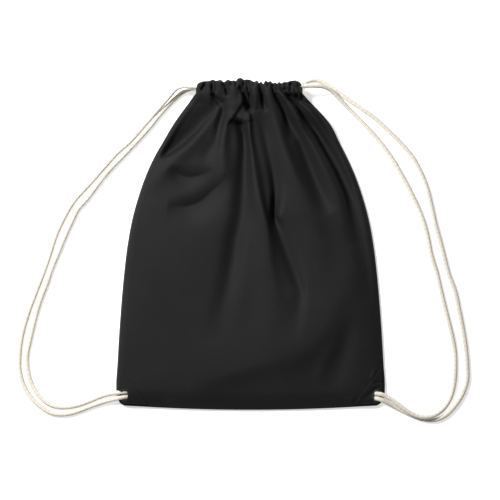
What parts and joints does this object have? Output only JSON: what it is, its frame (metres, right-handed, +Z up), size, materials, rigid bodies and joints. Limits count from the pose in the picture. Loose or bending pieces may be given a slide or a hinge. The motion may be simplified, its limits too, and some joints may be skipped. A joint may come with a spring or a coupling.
{
  "type": "drawstring backpack",
  "caption": "Flat cotton drawstring backpack lying on its back, hem gathered on two cords whose loops form the shoulder straps.",
  "frame": {"origin": "middle of the sack's footprint, on the surface it lies on", "axes": "+Y towards the mouth, +X across to the bag's right as seen from the front, +Z up out of the front panel"},
  "size_m": [0.6115, 0.4655, 0.0276],
  "materials": {
    "bag_cloth": "matt black plain-weave cotton",
    "thread": "black polyester sewing thread, slight sheen",
    "cord_cotton": "undyed braided cotton cord, matt"
  },
  "bodies": {
    "bag": {"back_panel": "bag_cloth", "front_panel": "bag_cloth", "left_side_seam": "bag_cloth", "right_side_seam": "bag_cloth", "bottom_seam": "bag_cloth", "left_corner_patch": "bag_cloth", "right_corner_patch": "bag_cloth", "left_buttonhole": "thread", "right_buttonhole": "thread", "back_hem_3": "bag_cloth", "front_hem_3": "bag_cloth", "left_strap_outer": "cord_cotton", "left_strap_inner": "cord_cotton", "right_strap_outer": "cord_cotton", "right_strap_inner": "cord_cotton", "left_cord_front_run": "cord_cotton", "left_cord_back_run": "cord_cotton", "right_cord_front_run": "cord_cotton", "right_cord_back_run": "cord_cotton", "left_cord_bight": "cord_cotton", "right_cord_bight": "cord_cotton", "left_knot": "cord_cotton", "right_knot": "cord_cotton"},
    "hem_left": {"back_hem_1": "bag_cloth", "front_hem_1": "bag_cloth"},
    "hem_mid_left": {"back_hem_2": "bag_cloth", "front_hem_2": "bag_cloth"},
    "hem_mid_right": {"back_hem_4": "bag_cloth", "front_hem_4": "bag_cloth"},
    "hem_right": {"back_hem_5": "bag_cloth", "front_hem_5": "bag_cloth"}
  },
  "joints": [
    {"name": "cinch", "type": "slide", "parent": "bag", "child": "hem_left", "axis": [-1, 0, 0], "range_m": [-0.02, 0.109], "deforming": ["left_strap_outer", "left_strap_inner", "right_strap_outer", "right_strap_inner", "left_cord_front_run", "left_cord_back_run", "right_cord_front_run", "right_cord_back_run", "left_cord_bight", "right_cord_bight"]},
    {"name": "cinch_mid_left", "type": "slide", "parent": "bag", "child": "hem_mid_left", "axis": [-1, 0, 0], "range_m": [-0.011, 0.056]},
    {"name": "cinch_mid_right", "type": "slide", "parent": "bag", "child": "hem_mid_right", "axis": [1, 0, 0], "range_m": [-0.011, 0.056]},
    {"name": "cinch_right", "type": "slide", "parent": "hem_left", "child": "hem_right", "axis": [1, 0, 0], "range_m": [-0.041, 0.219]}
  ],
  "couplings": [
    {"joint": "cinch_mid_left", "follows": "cinch", "ratio": 0.5},
    {"joint": "cinch_mid_right", "follows": "cinch", "ratio": 0.5},
    {"joint": "cinch_right", "follows": "cinch", "ratio": 2}
  ]
}
